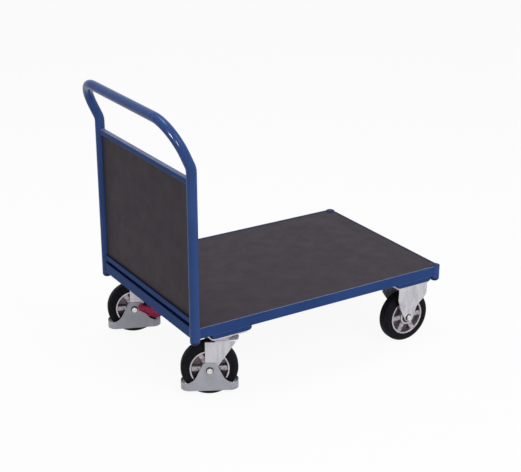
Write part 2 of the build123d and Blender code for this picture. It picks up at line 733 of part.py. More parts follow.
# Brake pedal beside the guard, on the -Y side, turning on a pin in the guard
pivot = (PEDAL_PIVOT_X - TRAIL, PEDAL_PIVOT_Z + wheel_r)
tip = (PEDAL_TIP_X - TRAIL, PEDAL_TIP_Z + wheel_r)
bar = (BRAKE_BAR_X - TRAIL, BRAKE_BAR_Z + wheel_r)
pedal_back = guard_outer + PEDAL_STANDOFF
pedal_front = pedal_back + PEDAL_THICKNESS
with BuildPart() as pedal:
    with BuildSketch(Plane.XZ.offset(pedal_back)):
        with Locations(pivot):
            Circle(PEDAL_BOSS_D / 2)
        with Locations(tip):
            Circle(PEDAL_TIP_D / 2)
        with Locations(bar):
            Circle(PEDAL_BAR_BOSS_D / 2)
        make_hull()
    extrude(amount=PEDAL_THICKNESS)
    with BuildSketch(Plane.XZ.offset(pedal_back)):
        with Locations(pivot):
            Circle(PEDAL_PIN_D / 2 + RUNNING_CLEARANCE)
        with Locations(bar):
            Circle(BRAKE_BAR_D / 2)
    extrude(amount=PEDAL_THICKNESS, mode=Mode.SUBTRACT)

with BuildPart() as pedal_pin:
    with BuildSketch(Plane.XZ.offset(fork_outer)):
        with Locations(pivot):
            Circle(PEDAL_PIN_D / 2)
    extrude(amount=pedal_front + TURN_GAP - fork_outer)
    with BuildSketch(Plane.XZ.offset(guard_outer)):
        with Locations(pivot):
            Circle(PEDAL_PIN_HEAD_D / 2)
    extrude(amount=PEDAL_STANDOFF - TURN_GAP)
    with BuildSketch(Plane.XZ.offset(pedal_front + TURN_GAP)):
        with Locations(pivot):
            Circle(PEDAL_PIN_HEAD_D / 2)
    extrude(amount=PEDAL_PIN_HEAD_HEIGHT)

with BuildPart() as brake_bar:
    with BuildSketch(Plane.XZ.offset(pedal_front)):
        with Locations(bar):
            Circle(BRAKE_BAR_D / 2)
    extrude(amount=-pedal_front - TYRE_WIDTH / 2)

# The guard that carries the pedal has a hole for its pin
with BuildPart() as braked_guard:
    add(guard.part)
    with BuildSketch(Plane.XZ.offset(fork_outer)):
        with Locations(pivot):
            Circle(PEDAL_PIN_D / 2)
    extrude(amount=GUARD_WALL, mode=Mode.SUBTRACT)


def save_wheel(name, centre, seat):
    """Write a wheel and its axle at one fork."""
    save(tyre.part, f"{name}_tyre", centre)
    save(rim.part, f"{name}_rim", centre)
    save(bearings.part, f"{name}_bearings", centre)
    save(sleeve.part, f"{name}_axle_sleeve", centre)
    save(axle_bolt(seat), f"{name}_axle_bolt", centre)
    save(axle_nut(seat), f"{name}_axle_nut", centre)


# The four casters in their places
for side, sign in (("left", 1), ("right", -1)):
    fixed_place = Location((fixed_x, sign * caster_y, 0))
    save(fixed_fork.part, f"fixed_{side}_fork", fixed_place)
    save_wheel(f"fixed_{side}", fixed_place * Location((0, 0, wheel_r)), fixed_seat)

for side, sign, turn, own_guard in (
    ("left", 1, LEFT_SWIVEL_TURN, braked_guard.part),
    ("right", -1, RIGHT_SWIVEL_TURN, guard.part),
):
    plate_place = Location((swivel_x, sign * caster_y, 0))
    turned_place = Location((swivel_x, sign * caster_y, 0), (0, 0, turn))
    save(top_plate.part, f"swivel_{side}_top_plate", plate_place)
    save(cup.part, f"swivel_{side}_bearing_cup", plate_place)
    save(king_pin.part, f"swivel_{side}_king_pin", plate_place)
    save(swivel_fork.part, f"swivel_{side}_fork", turned_place)
    save(own_guard, f"swivel_{side}_foot_guard", turned_place)
    save_wheel(f"swivel_{side}", turned_place * Location((-TRAIL, 0, wheel_r)), guard_outer)

left_place = Location((swivel_x, caster_y, 0), (0, 0, LEFT_SWIVEL_TURN))
save(pedal.part, "brake_pedal", left_place)
save(pedal_pin.part, "brake_pedal_pin", left_place)
save(brake_bar.part, "brake_bar", left_place)
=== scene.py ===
import json
import math

import bmesh
import bpy
from mathutils import Matrix, Vector


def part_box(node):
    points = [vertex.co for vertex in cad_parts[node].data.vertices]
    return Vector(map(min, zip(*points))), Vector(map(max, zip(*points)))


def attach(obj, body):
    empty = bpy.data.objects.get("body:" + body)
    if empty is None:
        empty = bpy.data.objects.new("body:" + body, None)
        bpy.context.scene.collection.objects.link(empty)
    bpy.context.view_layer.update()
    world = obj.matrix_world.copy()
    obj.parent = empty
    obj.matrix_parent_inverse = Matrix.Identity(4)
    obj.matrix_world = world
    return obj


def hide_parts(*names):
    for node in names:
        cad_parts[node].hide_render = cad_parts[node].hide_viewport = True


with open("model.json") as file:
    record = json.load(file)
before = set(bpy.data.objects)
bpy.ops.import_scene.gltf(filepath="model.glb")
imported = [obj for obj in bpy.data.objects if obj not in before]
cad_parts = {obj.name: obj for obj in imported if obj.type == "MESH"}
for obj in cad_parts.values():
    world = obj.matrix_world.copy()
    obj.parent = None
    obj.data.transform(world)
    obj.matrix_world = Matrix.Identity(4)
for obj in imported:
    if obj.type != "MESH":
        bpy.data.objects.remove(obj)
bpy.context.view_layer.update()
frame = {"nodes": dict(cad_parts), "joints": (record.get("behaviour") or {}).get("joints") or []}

MM = 0.001

# The photograph's camera
CAMERA_PLACE = (-2.2419, -3.5402, 2.0648)
CAMERA_AZIMUTH = -31.849
CAMERA_ELEVATION = 21.632
CAMERA_LENS = 84.13
CAMERA_SENSOR = 36.0
CAMERA_REACH = 60.0

# Sizes of the dressed pieces, in millimetres, as the part has them
POST_X = 510.0
POST_Y = 340.5
TUBE_R = 17.5
RAIL_OUTSET = 12.6
RAIL_BOTTOM = 258.0
RAIL_TOP = 296.0
PANEL_RAIL_FACE = 18.0
WHEEL_R = 100.0
TYRE_HALF = 25.0
TYRE_SHOULDER = 17.0
RIM_R = 69.5
RIM_HALF = 23.5
RING_INNER = 63.5
HUB_R = 30.0
HUB_HALF = 26.5
BORE_R = 23.5
WEB_HALF = 5.0
SPOKE_COUNT = 6
AXLE_R = 6.0
AXLE_FLATS = 19.0
AXLE_HEAD = 6.0
AXLE_NUT = 8.0
AXLE_END = 3.0
AXLE_CHAMFER = 1.0
WASHER_R = 13.0
WASHER = 2.0
FIXED_SEAT = 33.6
SWIVEL_SEAT = 34.0
PEDAL_BACK = 35.5
PEDAL_FRONT = 49.5
PEDAL_TRAY = PEDAL_FRONT - 4.0

CASTERS = ("fixed_left", "fixed_right", "swivel_left", "swivel_right")
SIDES = ("left", "right")
ENDS = ("rear", "front")

# Steps round turned pieces
TYRE_STEPS = 120
WASHER_STEPS = 64
AXLE_STEPS = 40


# Material nodes

class Shade:
    """One procedural material, with short ways to add nodes to it."""

    def __init__(self, name, **sockets):
        self.material = bpy.data.materials.new(name)
        self.material.use_nodes = True
        self.tree = self.material.node_tree
        self.shader = self.tree.nodes["Principled BSDF"]
        for socket, value in sockets.items():
            self.shader.inputs[socket.replace("_", " ")].default_value = value
        self.place = self.add("ShaderNodeTexCoord").outputs["Object"]

    def add(self, kind, links=(), values=(), **settings):
        """A node with its settings, linked and set inputs."""
        node = self.tree.nodes.new(kind)
        for key, value in settings.items():
            setattr(node, key, value)
        for socket, source in dict(links).items():
            self.tree.links.new(source, node.inputs[socket])
        for socket, value in dict(values).items():
            node.inputs[socket].default_value = value
        return node

    def stretched(self, scale):
        """Object coordinates scaled along each axis."""
        node = self.add("ShaderNodeMapping", {"Vector": self.place}, {"Scale": scale})
        return node.outputs["Vector"]

    def noise(self, scale, detail=2.0, roughness=0.5, vector=None):
        """Noise from 0 to 1; scale is in features per metre."""
        node = self.add(
            "ShaderNodeTexNoise",
            {"Vector": vector or self.place},
            {"Scale": scale, "Detail": detail, "Roughness": roughness},
        )
        return node.outputs["Fac"]

    def cells(self, scale):
        """Distance from the nearest of scattered points; scale is in points per metre."""
        node = self.add("ShaderNodeTexVoronoi", {"Vector": self.place}, {"Scale": scale})
        return node.outputs["Distance"]

    def ramp(self, factor, *stops):
        """Colours, or grey levels, at places along a factor."""
        node = self.add("ShaderNodeValToRGB", {"Fac": factor})
        elements = node.color_ramp.elements
        while len(elements) < len(stops):
            elements.new(0.5)
        for element, (place, colour) in zip(elements, stops):
            element.position = place
            grey = isinstance(colour, (int, float))
            element.color = (colour, colour, colour, 1) if grey else (*colour, 1)
        return node.outputs["Color"]

    def level(self, factor, low, high, start=0.3, end=0.7):
        """A number that goes from low to high as the factor goes from start to end."""
        node = self.add(
            "ShaderNodeMapRange",
            {"Value": factor},
            {"From Min": start, "From Max": end, "To Min": low, "To Max": high},
        )
        return node.outputs["Result"]

    def calc(self, operation, first, second):
        """Math of two sockets, or of a socket and a number."""
        node = self.add("ShaderNodeMath", operation=operation)
        for index, value in enumerate((first, second)):
            if isinstance(value, (int, float)):
                node.inputs[index].default_value = value
            else:
                self.tree.links.new(value, node.inputs[index])
        return node.outputs["Value"]

    def mix(self, factor, first, second):
        """One colour over another."""
        node = self.add("ShaderNodeMix", data_type="RGBA")
        self.tree.links.new(factor, node.inputs["Factor"])
        for socket, value in ((node.inputs[6], first), (node.inputs[7], second)):
            if isinstance(value, tuple):
                socket.default_value = (*value, 1)
            else:
                self.tree.links.new(value, socket)
        return node.outputs[2]

    def edges(self, radius):
        """How near a sharp edge is, from 0 to 1."""
        rounded = self.add("ShaderNodeBevel", (), {"Radius": radius}, samples=4).outputs["Normal"]
        flat = self.add("ShaderNodeNewGeometry").outputs["Normal"]
        node = self.add("ShaderNodeVectorMath", {0: rounded, 1: flat}, operation="DOT_PRODUCT")
        return self.level(node.outputs["Value"], 1.0, 0.0, 0.86, 0.995)

    def upward(self):
        """How far a surface faces up, from 0 to 1."""
        normal = self.add("ShaderNodeNewGeometry").outputs["Normal"]
        height = self.add("ShaderNodeSeparateXYZ", {0: normal}).outputs["Z"]
        return self.level(height, 0.0, 1.0, 0.4, 1.0)

    def use(self, socket, source):
        """Link a source to one of the shader's sockets."""
        self.tree.links.new(source, self.shader.inputs[socket])

    def bump(self, *layers):
        """Bump layers, each a height, its depth in metres and its strength."""
        normal = None
        for height, depth, strength in layers:
            links = {"Height": height}
            if normal:
                links["Normal"] = normal
            normal = self.add(
                "ShaderNodeBump", links, {"Distance": depth, "Strength": strength}
            ).outputs["Normal"]
        self.use("Normal", normal)


def shaded(shade, *tints):
    """Colours made lighter or darker together."""
    return [tuple(shade * part for part in tint) for tint in tints]


def paint_material(name, shade, gloss, edge_radius, edge_wear_and_highlight_share, top_share):
    """Blue powder coat: faint orange peel and shade changes, paler on edges and tops from wear and
    painted highlight.
    """
    s = Shade(name, Specular_IOR_Level=gloss)
    worn_and_highlit_edge, rubbed_and_lit_top = (0.26, 0.29, 0.42), (0.25, 0.28, 0.40)
    low, high = shaded(shade, (0.0235, 0.0565, 0.184), (0.0290, 0.0685, 0.218))
    colour = s.ramp(s.noise(7, 3), (0.3, low), (0.7, high))
    scuffs = s.level(s.noise(60, 5, 0.7), 0.55, 1.0, 0.42, 0.68)
    # Edges paler: partly wear, partly a painted highlight along them.
    edge_wear_and_highlight = s.calc("MULTIPLY", s.edges(edge_radius), s.calc("MULTIPLY", scuffs, edge_wear_and_highlight_share))
    colour = s.mix(edge_wear_and_highlight, colour, worn_and_highlit_edge)
    # Upward faces paler: partly rubbing, partly painted light from above.
    rubbed_and_lit = s.level(s.noise(25, 4, 0.6), 0.5 * top_share, top_share)
    colour = s.mix(s.calc("MULTIPLY", s.upward(), rubbed_and_lit), colour, rubbed_and_lit_top)
    s.use("Base Color", colour)
    s.use("Roughness", s.level(s.noise(40, 3), 0.15, 0.23))
    s.bump((s.noise(260, 1), 0.03 * MM, 0.015))
    return s.material


def plug_material():
    """Dark moulded plastic of the tube ends, with painted highlights on its edges."""
    s = Shade("dark_plug_plastic", Specular_IOR_Level=0.12)
    colour = s.ramp(s.noise(60, 4), (0.3, (0.011, 0.020, 0.056)), (0.7, (0.018, 0.031, 0.082)))
    # Edges paler as a painted highlight.
    colour = s.mix(s.calc("MULTIPLY", s.edges(1.2 * MM), 0.35), colour, (0.06, 0.09, 0.18))
    s.use("Base Color", colour)
    s.use("Roughness", s.level(s.noise(90, 3), 0.42, 0.62))
    s.bump((s.noise(1300, 2), 0.15 * MM, 0.3))
    return s.material


def board_material(name, shade):
    """Film faced board: resin film with a fine mesh pressed in, cloudy brown, rubbed in places."""
    s = Shade(name, Specular_IOR_Level=0.05)
    low, middle, high, stained, scratched = shaded(
        shade,
        (0.0440, 0.0355, 0.0455),
        (0.0465, 0.0375, 0.0480),
        (0.0500, 0.0395, 0.0485),
        (0.058, 0.040, 0.046),
        (0.080, 0.070, 0.078),
    )
    colour = s.ramp(s.noise(9, 5, 0.62), (0.28, low), (0.50, middle), (0.72, high))
    stain = s.level(s.noise(30, 4, 0.6), 0.0, 0.30, 0.52, 0.75)
    colour = s.mix(stain, colour, stained)
    rubs = s.level(s.noise(40, 6, 0.7, s.stretched((0.35, 2.5, 1.0))), 0.0, 0.10, 0.62, 0.80)
    colour = s.mix(rubs, colour, scratched)
    s.use("Base Color", colour)
    axes = s.add("ShaderNodeSeparateXYZ", {0: s.place})
    wires_per_metre = 1 / (3.2 * MM)
    waves = [
        s.calc("SINE", s.calc("MULTIPLY", axes.outputs[axis], math.tau * wires_per_metre), 0.0)
        for axis in ("X", "Y", "Z")
    ]
    mesh = s.calc("ADD", s.calc("ADD", waves[0], waves[1]), waves[2])
    s.use("Roughness", s.level(s.noise(18, 5, 0.65), 0.36, 0.56))
    s.bump((mesh, 0.06 * MM, 0.35), (s.noise(30, 3), 0.6 * MM, 0.10))
    return s.material


def zinc_material(name, metallic, shade):
    """Bright zinc on pressed steel: cloudy, with fine grain, broad streaks and painted highlights
    on the edges.
    """
    s = Shade(name, Metallic=metallic)
    cloud = s.noise(26, 4, 0.6)
    grain = s.noise(60, 3, 0.6, s.stretched((6.0, 6.0, 1.0)))
    low, high, warm, dull = shaded(
        shade,
        (0.97, 0.95, 1.03),
        (1.09, 1.07, 1.14),
        (0.99, 0.95, 0.98),
        (0.74, 0.74, 0.82),
    )
    colour = s.ramp(grain, (0.3, low), (0.7, high))
    colour = s.mix(s.level(cloud, 0.0, 0.7, 0.42, 0.72), colour, warm)
    streaks = s.noise(11, 2, 0.5, s.stretched((5.0, 5.0, 0.6)))
    colour = s.mix(s.level(streaks, 0.0, 0.8, 0.46, 0.66), colour, dull)
    # Edges lighter as a painted highlight.
    colour = s.mix(s.calc("MULTIPLY", s.edges(1.8 * MM), 0.75), colour, (0.90, 0.90, 0.93))
    s.use("Base Color", colour)
    s.use("Roughness", s.level(s.noise(55, 4, 0.6), 0.26, 0.40))
    s.bump((s.noise(700, 2), 0.10 * MM, 0.12))
    return s.material


def guard_material():
    """Matt grey zinc sheet with small pimples and painted highlights on its edges."""
    s = Shade("matt_grey_zinc", Metallic=0.35)
    cloud = s.noise(18, 4, 0.6)
    colour = s.ramp(cloud, (0.3, (0.350, 0.353, 0.396)), (0.7, (0.436, 0.441, 0.492)))
    pimples = s.level(s.cells(95), 1.0, 0.0, 0.02, 0.10)
    colour = s.mix(s.calc("MULTIPLY", pimples, 0.4), colour, (0.17, 0.17, 0.19))
    # Edges lighter as a painted highlight.
    colour = s.mix(s.calc("MULTIPLY", s.edges(1.4 * MM), 0.7), colour, (0.62, 0.63, 0.68))
    s.use("Base Color", colour)
    s.use("Roughness", s.level(s.noise(70, 4), 0.40, 0.56))
    s.bump((pimples, 0.3 * MM, 0.25), (s.noise(500, 2), 0.15 * MM, 0.18))
    return s.material


def fastener_material():
    """Zinc plated fasteners, with painted highlights on their edges."""
    s = Shade("zinc_fastener", Metallic=1.0)
    colour = s.ramp(s.noise(160, 4), (0.3, (0.56, 0.56, 0.55)), (0.7, (0.74, 0.73, 0.71)))
    # Edges lighter as a painted highlight.
    colour = s.mix(s.calc("MULTIPLY", s.edges(0.8 * MM), 0.6), colour, (0.88, 0.88, 0.89))
    s.use("Base Color", colour)
    s.use("Roughness", s.level(s.noise(240, 3), 0.20, 0.36))
    s.bump((s.noise(1600, 2), 0.06 * MM, 0.2))
    return s.material


def bearing_material():
    """Sealed ball bearings, near black."""
    s = Shade("bearing_seal", Metallic=0.5)
    colour = s.ramp(s.noise(220, 3), (0.3, (0.030, 0.030, 0.034)), (0.7, (0.060, 0.060, 0.066)))
    s.use("Base Color", colour)
    s.use("Roughness", s.level(s.noise(320, 3), 0.30, 0.45))
    s.bump((s.noise(1400, 2), 0.05 * MM, 0.2))
    return s.material


def washer_material():
    """Near-black steel washers, paler at the edges."""
    s = Shade("black_washer", Metallic=0.8)
    colour = s.ramp(s.noise(180, 4), (0.3, (0.030, 0.030, 0.036)), (0.7, (0.065, 0.064, 0.072)))
    colour = s.mix(s.calc("MULTIPLY", s.edges(0.5 * MM), 0.5), colour, (0.35, 0.35, 0.38))
    s.use("Base Color", colour)
    s.use("Roughness", s.level(s.noise(260, 3), 0.34, 0.50))
    s.bump((s.noise(1500, 2), 0.05 * MM, 0.2))
    return s.material


def rubber_material():
    """Elastic rubber: matt black, dusty where it rolls, with a paler ring on the shoulder that is
    partly painted highlight.
    """
    s = Shade("tyre_rubber", Specular_IOR_Level=0.09)
    axes = s.add("ShaderNodeSeparateXYZ", {0: s.place})
    across = s.calc("MULTIPLY", s.calc("ABSOLUTE", axes.outputs["Y"], 0.0), 1 / (TYRE_HALF * MM))
    dark, pale = (0.0060, 0.0057, 0.0080), (0.0098, 0.0094, 0.0126)
    colour = s.ramp(s.noise(45, 5, 0.65), (0.3, dark), (0.7, pale))
    tread = s.level(across, 1.0, 0.0, 0.36, 0.68)
    dust = s.calc("MULTIPLY", tread, s.level(s.noise(120, 5, 0.7), 0.0, 0.5))
    colour = s.mix(dust, colour, (0.010, 0.0095, 0.012))
    # A paler ring on the shoulder: dust and a painted highlight.
    rubbed_and_lit = s.ramp(across, (0.0, 0.0), (0.5, 0.0), (0.6, 1.0), (0.72, 0.0))
    colour = s.mix(s.calc("MULTIPLY", rubbed_and_lit, 0.4), colour, (0.032, 0.031, 0.036))
    s.use("Base Color", colour)
    s.use("Roughness", s.level(s.noise(80, 4), 0.58, 0.78))
    s.bump((s.noise(900, 3), 0.12 * MM, 0.35))
    return s.material


def cast_material():
    """As-cast aluminium: sandy skin, with painted shade making it darker down in the pockets than
    on the ribs.
    """
    s = Shade("cast_aluminium", Metallic=0.85)
    axes = s.add("ShaderNodeSeparateXYZ", {0: s.place})
    height = s.calc("ABSOLUTE", axes.outputs["Y"], 0.0)
    light = s.ramp(s.noise(120, 4, 0.6), (0.32, (0.25, 0.226, 0.250)), (0.66, (0.52, 0.485, 0.525)))
    dark = s.ramp(s.noise(70, 4, 0.6), (0.3, (0.085, 0.064, 0.074)), (0.7, (0.180, 0.145, 0.160)))
    # Darker towards the web, down in the pockets: painted shade.
    rib = s.level(height, 0.0, 1.0, 5.5 * MM, 19 * MM)
    s.use("Base Color", s.mix(rib, dark, light))
    s.use("Roughness", s.level(s.noise(150, 4), 0.36, 0.55))
    s.bump((s.noise(1100, 3), 0.2 * MM, 0.35))
    return s.material


def machined_material():
    """Turned aluminium: fine rings about the axle."""
    s = Shade("turned_aluminium", Metallic=1.0)
    axes = s.add("ShaderNodeSeparateXYZ", {0: s.place})
    squares = [s.calc("POWER", axes.outputs[axis], 2.0) for axis in ("X", "Z")]
    radius = s.calc("SQRT", s.calc("ADD", *squares), 0.0)
    rings = s.calc("SINE", s.calc("MULTIPLY", radius, math.tau / (0.5 * MM)), 0.0)
    colour = s.ramp(s.noise(90, 4), (0.32, (0.38, 0.367, 0.393)), (0.66, (0.62, 0.600, 0.630)))
    s.use("Base Color", colour)
    s.use("Roughness", s.level(s.noise(200, 3), 0.20, 0.33))
    s.bump((rings, 0.03 * MM, 0.25))
    return s.material


def pedal_material():
    """Crimson moulded plastic, paler on its edges from rubbing and painted highlight."""
    s = Shade("crimson_plastic", Specular_IOR_Level=0.18)
    colour = s.ramp(s.noise(70, 4), (0.3, (0.500, 0.0260, 0.108)), (0.7, (0.660, 0.0440, 0.146)))
    # Edges paler: partly rubbing, partly a painted highlight.
    rubbed_and_lit = s.calc("MULTIPLY", s.edges(1.6 * MM), s.level(s.noise(140, 5, 0.7), 0.15, 0.75))
    colour = s.mix(rubbed_and_lit, colour, (0.74, 0.300, 0.390))
    s.use("Base Color", colour)
    s.use("Roughness", s.level(s.noise(110, 4), 0.22, 0.36))
    s.bump((s.noise(1200, 2), 0.08 * MM, 0.20))
    return s.material


# A lighter copy of the paint for the tubes: painted light.
TUBE_PAINT_LIT = paint_material(
    "blue_powder_coat",
    shade=1.14, gloss=0.09, edge_radius=1.2 * MM, edge_wear_and_highlight_share=0.35, top_share=0.02,
)
# The rails' edges and upward faces get broad pale bands: wear with a painted highlight.
RAIL_PAINT = paint_material(
    "blue_powder_coat_rails",
    shade=1.02, gloss=0.02, edge_radius=2.6 * MM, edge_wear_and_highlight_share=0.90, top_share=0.65,
)
# A darker copy of the paint for the rear end rail, pans and panel bottom rail: painted shade.
REAR_PAINT_SHADED = paint_material(
    "blue_powder_coat_rear_shaded",
    shade=0.95, gloss=0.012, edge_radius=1.2 * MM, edge_wear_and_highlight_share=0.15, top_share=0.0,
)
PLUG = plug_material()
DECK_BOARD = board_material("film_faced_board", shade=0.92)
PANEL_BOARD = board_material("film_faced_panel", shade=0.93)
ZINC = zinc_material("bright_zinc", metallic=0.6, shade=0.60)
CUP_ZINC = zinc_material("bright_zinc_cup", metallic=0.25, shade=0.57)
GUARD = guard_material()
FASTENER = fastener_material()
BEARING = bearing_material()
BLACK_WASHER = washer_material()
RUBBER = rubber_material()
CAST = cast_material()
MACHINED = machined_material()
PEDAL = pedal_material()


# Meshes

MERGE_DISTANCE = 0.002 * MM
SHARP_ANGLE = math.radians(38)


def piece(name, verts, faces, materials, body, place=Matrix.Identity(4), zones=None):
    """A new piece from points in millimetres, about its own place, riding on a body."""
    mesh = bpy.data.meshes.new(name)
    mesh.from_pydata([Vector(v) * MM for v in verts], [], faces)
    for material in materials:
        mesh.materials.append(material)
    if zones:
        mesh.polygons.foreach_set("material_index", zones)
    work = bmesh.new()
    work.from_mesh(mesh)
    bmesh.ops.remove_doubles(work, verts=work.verts, dist=MERGE_DISTANCE)
    bmesh.ops.recalc_face_normals(work, faces=work.faces)
    work.to_mesh(mesh)
    work.free()
    mesh.shade_smooth()
    mesh.set_sharp_from_angle(angle=SHARP_ANGLE)
    made = bpy.data.objects.new(name, mesh)
    bpy.context.scene.collection.objects.link(made)
    made.matrix_world = place
    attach(made, body)
    return made


class Shell:
    """Points and faces that grow loop by loop."""

    def __init__(self):
        self.verts = []
        self.faces = []

    def loop(self, points):
        """Add points, and give their numbers."""
        start = len(self.verts)
        self.verts.extend(points)
        return list(range(start, start + len(points)))

    def bridge(self, first, second):
        """Faces between two loops with as many points."""
        count = len(first)
        for i in range(count):
            j = (i + 1) % count
            self.faces.append((first[i], first[j], second[j], second[i]))

    def skin(self, loops, closed=False):
        """Faces between each loop of points and the next."""
        rows = [self.loop(points) for points in loops]
        for first, second in zip(rows, rows[1:]):
            self.bridge(first, second)
        if closed:
            self.bridge(rows[-1], rows[0])
        return rows

    def lid(self, row):
        """One face over a loop."""
        self.faces.append(tuple(row))

    def turned(self, section, steps, closed=True):
        """A section of (radius, along) points turned about the Y axis."""
        loops = []
        for radius, along in section:
            angles = [math.tau * i / steps for i in range(steps)]
            loops.append([(radius * math.cos(a), along, radius * math.sin(a)) for a in angles])
        return self.skin(loops, closed)


def arc(centre, radius, start, end, steps):
    """Points of an arc, angles in degrees."""
    angles = [math.radians(start + (end - start) * i / steps) for i in range(steps + 1)]
    return [(centre[0] + radius * math.cos(a), centre[1] + radius * math.sin(a)) for a in angles]


def hexagon_radius(angle, flats):
    """Distance from the middle of a hexagon to its side."""
    turn = math.radians(60)
    return flats / 2 / math.cos((angle + turn / 2) % turn - turn / 2)


def hexagon_head(shell, base, height, flats, direction, bore=0.0):
    """A chamfered hexagon along Y from base, with a forged dish or a bored hole."""
    steps = 48
    angles = [math.tau * i / steps for i in range(steps)]
    flat = flats / 2
    top = base + direction * height
    chamfer_slope, top_edge, top_share = 0.58, 0.35, 0.955
    relief_slope, foot_edge, foot_share = 0.3, 0.3, 0.97
    dish_depth, dish_share, dish_floor_share = 0.45, 0.80, 0.70
    bore_edge = 1.0

    def side(angle):
        return hexagon_radius(angle, flats)

    def circle(radius, along):
        return [(radius * math.cos(a), along, radius * math.sin(a)) for a in angles]

    def hexagon(rise_of):
        points = []
        for a in angles:
            along = base + direction * rise_of(side(a) - flat)
            points.append((side(a) * math.cos(a), along, side(a) * math.sin(a)))
        return points

    loops = [
        circle(flat * foot_share, base),
        hexagon(lambda corner: foot_edge + corner * relief_slope),
        hexagon(lambda corner: height - top_edge - corner * chamfer_slope),
        circle(flat * top_share, top),
    ]
    if bore:
        loops.append(circle(bore + bore_edge, top))
        loops.append(circle(bore, top - direction * bore_edge))
        loops.append(circle(bore, base))
        shell.skin(loops, closed=True)
        return
    loops.append(circle(flat * dish_share, top))
    loops.append(circle(flat * dish_floor_share, top - direction * dish_depth))
    rows = shell.skin(loops)
    shell.lid(rows[0])
    shell.lid(rows[-1])


def washer_section(inner, outer, base, direction, thickness=WASHER):
    """Section of a plain washer with broken edges."""
    edge = 0.4
    near, far = base, base + direction * thickness
    return [
        (inner, near),
        (outer - edge, near),
        (outer, near + direction * edge),
        (outer, far - direction * edge),
        (outer - edge, far),
        (inner, far),
    ]


# Wheels

TYRE_BEAD = 3.0
# Radius, and height from the side wall
WALL_GROOVE = ((74.6, 0.0), (75.2, -0.8), (76.6, -0.8), (77.2, 0.0))
WALL_RIB = ((80.0, 0.0), (80.5, 0.45), (81.6, 0.45), (82.1, 0.0))
SHOULDER_STEPS = 16
# Points of the shoulder that lie in its groove, and how deep: towards the axle, and along it
SHOULDER_GROOVE_AT = (6, 7)
SHOULDER_GROOVE = (0.42, 0.56)
# Depth under the tread's radius, and distance from its middle
MOULD_LINE = ((0.1, 4.0), (0.2, 0.6), (0.0, 0.0))


def tyre_section():
    """Section of the tyre: bead, ribbed side wall, grooved shoulder, tread with its mould line."""
    half = arc((RIM_R + TYRE_BEAD, TYRE_HALF - TYRE_BEAD), TYRE_BEAD, 180, 90, 4)
    half += [(radius, TYRE_HALF + rise) for radius, rise in WALL_GROOVE + WALL_RIB]
    centre = (WHEEL_R - TYRE_SHOULDER, TYRE_HALF - TYRE_SHOULDER)
    shoulder = arc(centre, TYRE_SHOULDER, 90, 0, SHOULDER_STEPS)
    for index in SHOULDER_GROOVE_AT:
        radius, along = shoulder[index]
        shoulder[index] = (radius - SHOULDER_GROOVE[0], along - SHOULDER_GROOVE[1])
    half += shoulder
    half += [(WHEEL_R - depth, along) for depth, along in MOULD_LINE]
    return half + [(radius, -along) for radius, along in reversed(half[:-1])]


# Half width of a spoke, and the height of its face there
SPOKE_PROFILE = (
    (0.0, 19.3),
    (3.0, 19.2),
    (6.0, 19.0),
    (8.4, 18.6),
    (9.2, 17.4),
    (9.9, 14.2),
    (10.6, 10.4),
    (11.3, 7.2),
    (12.2, 5.4),
    (13.4, WEB_HALF),
)
POCKET_STEPS = 4
HUB_FILLET = 3.2
RIM_EDGE = 0.9
# Rings nearer the axle than this rise to the hub, the others to the lip
HUB_SIDE = 45.0
# Radius, and the part there or the share of the way up from the web to the hub or the lip
RIM_RINGS = (
    (BORE_R, "face"),
    (BORE_R + 0.7, "face"),
    (HUB_R - 1.2, "face"),
    (HUB_R - 0.4, 0.985),
    (HUB_R, 0.95),
    (HUB_R + 0.5, 0.74),
    (HUB_R + 1.1, 0.40),
    (HUB_R + 1.9, 0.14),
    (HUB_R + HUB_FILLET, 0.02),
    (37.0, 0.0),
    (44.0, 0.0),
    (51.0, 0.0),
    (56.0, 0.0),
    (59.0, 0.0),
    (60.6, 0.03),
    (61.7, 0.14),
    (62.5, 0.42),
    (63.1, 0.78),
    (RING_INNER, 0.95),
    (RING_INNER + 0.5, 0.99),
    (RING_INNER + 1.0, "lip"),
    (RIM_R - RIM_EDGE, "lip"),
    (RIM_R, "edge"),
)
TURNED_HUB_RINGS = 3
TURNED_LIP_RINGS = 4


def rim_columns(radius):
    """Angles and web heights round the rim at one radius, laid along the spokes."""
    sector = math.tau / SPOKE_COUNT
    widest = 0.98 * math.sin(sector / 2)
    columns = []
    for distance, height in SPOKE_PROFILE:
        columns.append((math.asin(min(distance / radius, widest)), height))
    start = columns[-1][0]
    for step in range(1, POCKET_STEPS + 1):
        columns.append((start + (sector / 2 - start) * step / POCKET_STEPS, WEB_HALF))
    whole = []
    for spoke in range(SPOKE_COUNT):
        middle = sector * spoke
        whole += [(middle - angle, height) for angle, height in reversed(columns[1:-1])]
        whole += [(middle + angle, height) for angle, height in columns]
    return whole


def rim_face(side):
    """Loops of points over one face of the rim, from the bore to the outer edge."""
    loops = []
    for radius, part in RIM_RINGS:
        points = []
        for angle, web in rim_columns(max(radius, HUB_R + HUB_FILLET)):
            if part == "face":
                height = HUB_HALF
            elif part == "lip":
                height = RIM_HALF
            elif part == "edge":
                height = RIM_HALF - RIM_EDGE
            else:
                rise = HUB_HALF if radius < HUB_SIDE else RIM_HALF
                height = web + (rise - web) * part
            points.append((radius * math.cos(angle), side * height, radius * math.sin(angle)))
        loops.append(points)
    return loops


